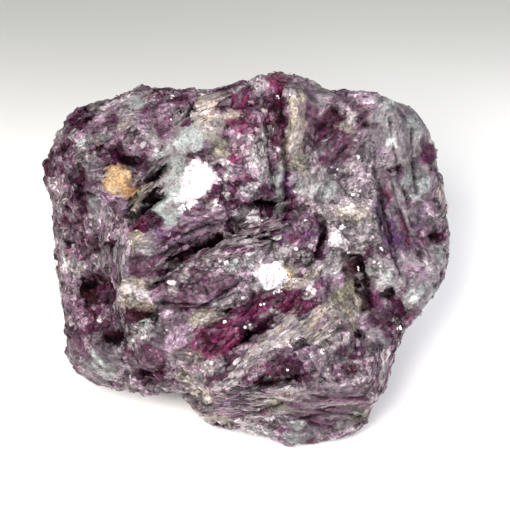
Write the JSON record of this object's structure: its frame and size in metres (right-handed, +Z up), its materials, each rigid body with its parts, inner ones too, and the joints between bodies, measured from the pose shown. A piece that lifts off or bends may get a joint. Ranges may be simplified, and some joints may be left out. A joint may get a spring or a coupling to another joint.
{
  "type": "lepidolite mica rock specimen",
  "caption": "Rough hand-sized lump of lilac lepidolite mica with quartz and albite, resting on its worn underside with a broad broken face leaning back.",
  "frame": {"origin": "middle of the bounding box, at its lowest plane, where the lump rests", "axes": "+X across the broad face, along the lump's longest extent; -Y the side that the broad face looks to; +Z up"},
  "size_m": [0.0808, 0.0762, 0.06],
  "materials": {
    "lepidolite": "rough broken rock with pearly mica flakes"
  },
  "bodies": {
    "root": {"lepidolite_rock": "lepidolite"}
  },
  "joints": []
}
